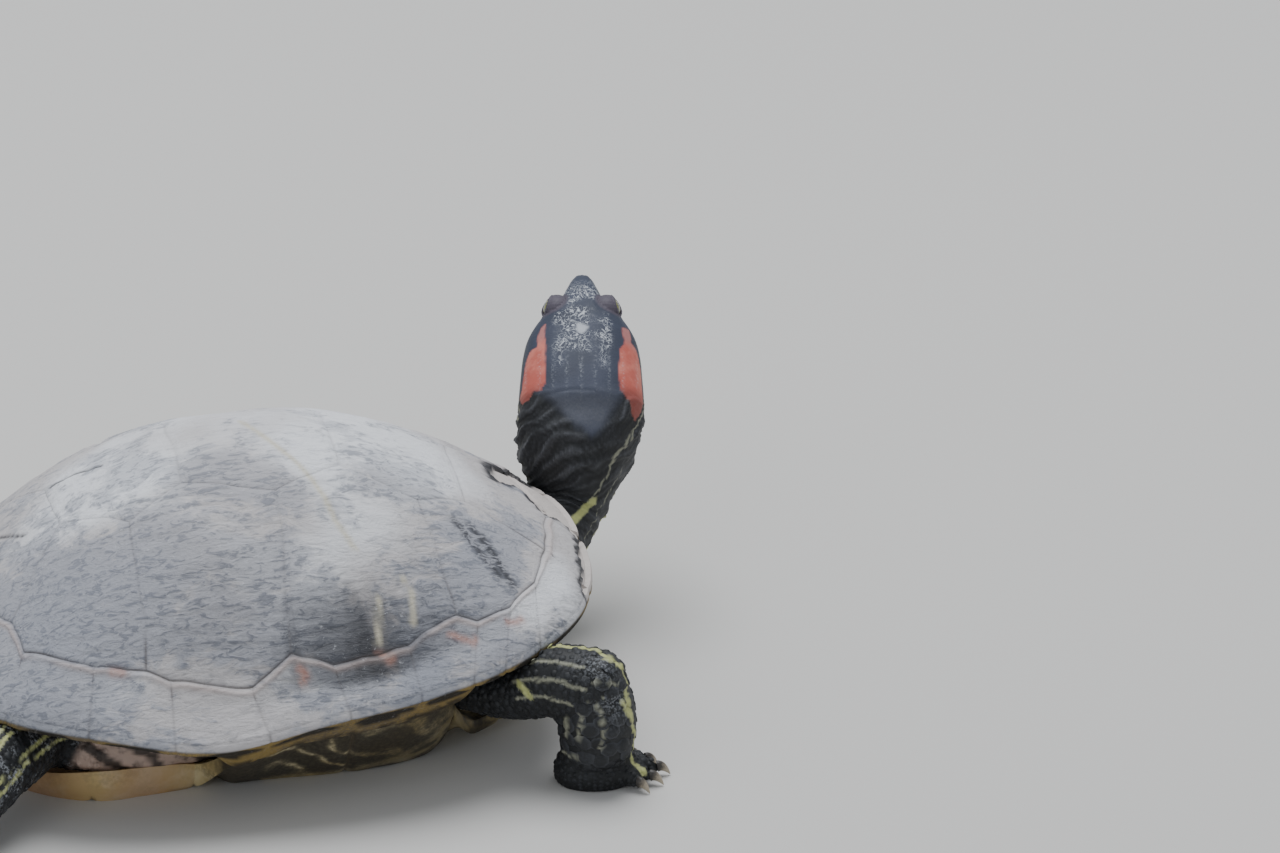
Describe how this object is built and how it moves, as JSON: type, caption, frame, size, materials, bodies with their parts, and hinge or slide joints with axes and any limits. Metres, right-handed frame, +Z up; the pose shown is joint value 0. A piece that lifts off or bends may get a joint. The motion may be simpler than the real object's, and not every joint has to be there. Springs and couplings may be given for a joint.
{
  "type": "turtle model",
  "caption": "Life-size still model of a slider turtle resting on its flat belly plates, with a domed scute shell, a raised neck and head turned to the left, and spread clawed legs.",
  "frame": {"origin": "on the flat underside of the belly plates, at floor level, under the middle of the upper shell", "axes": "+X the way the shell points, towards the front rim; +Y the turtle's left side; +Z up"},
  "size_m": [0.3056, 0.2578, 0.1121],
  "materials": {
    "carapace": "dry horn plates with a film of pale dust",
    "rim": "dry horn plates with a film of pale dust",
    "plastron": "smooth horn",
    "skin": "fine-scaled skin with pale stripes",
    "head_skin": "smooth tight skin with a red patch on each side",
    "eye": "wet and clear",
    "claw": "horn"
  },
  "bodies": {
    "root": {"nuchal": "carapace", "vertebral_1": "carapace", "vertebral_2": "carapace", "vertebral_3": "carapace", "vertebral_4": "carapace", "vertebral_5": "carapace", "costal_left_1": "carapace", "costal_left_2": "carapace", "costal_left_3": "carapace", "costal_left_4": "carapace", "costal_right_1": "carapace", "costal_right_2": "carapace", "costal_right_3": "carapace", "costal_right_4": "carapace", "marginals_front_left": "rim", "marginals_bridge_left": "rim", "marginals_rear_left": "rim", "marginals_front_right": "rim", "marginals_bridge_right": "rim", "marginals_rear_right": "rim", "plastron_gulars": "plastron", "plastron_humerals": "plastron", "plastron_pectorals": "plastron", "plastron_abdominals": "plastron", "plastron_femorals": "plastron", "plastron_anals": "plastron", "trunk": "skin", "neck": "skin", "tail": "skin", "foreleg_left": "skin", "foreleg_right": "skin", "hindleg_left": "skin", "hindleg_right": "skin", "head": "head_skin", "eye_left": "eye", "eye_right": "eye", "claw_foreleg_left_1": "claw", "claw_foreleg_left_2": "claw", "claw_foreleg_left_3": "claw", "claw_foreleg_left_4": "claw", "claw_foreleg_left_5": "claw", "claw_foreleg_right_1": "claw", "claw_foreleg_right_2": "claw", "claw_foreleg_right_3": "claw", "claw_foreleg_right_4": "claw", "claw_foreleg_right_5": "claw", "claw_hindleg_left_1": "claw", "claw_hindleg_left_2": "claw", "claw_hindleg_left_3": "claw", "claw_hindleg_left_4": "claw", "claw_hindleg_right_1": "claw", "claw_hindleg_right_2": "claw", "claw_hindleg_right_3": "claw", "claw_hindleg_right_4": "claw"}
  },
  "joints": []
}
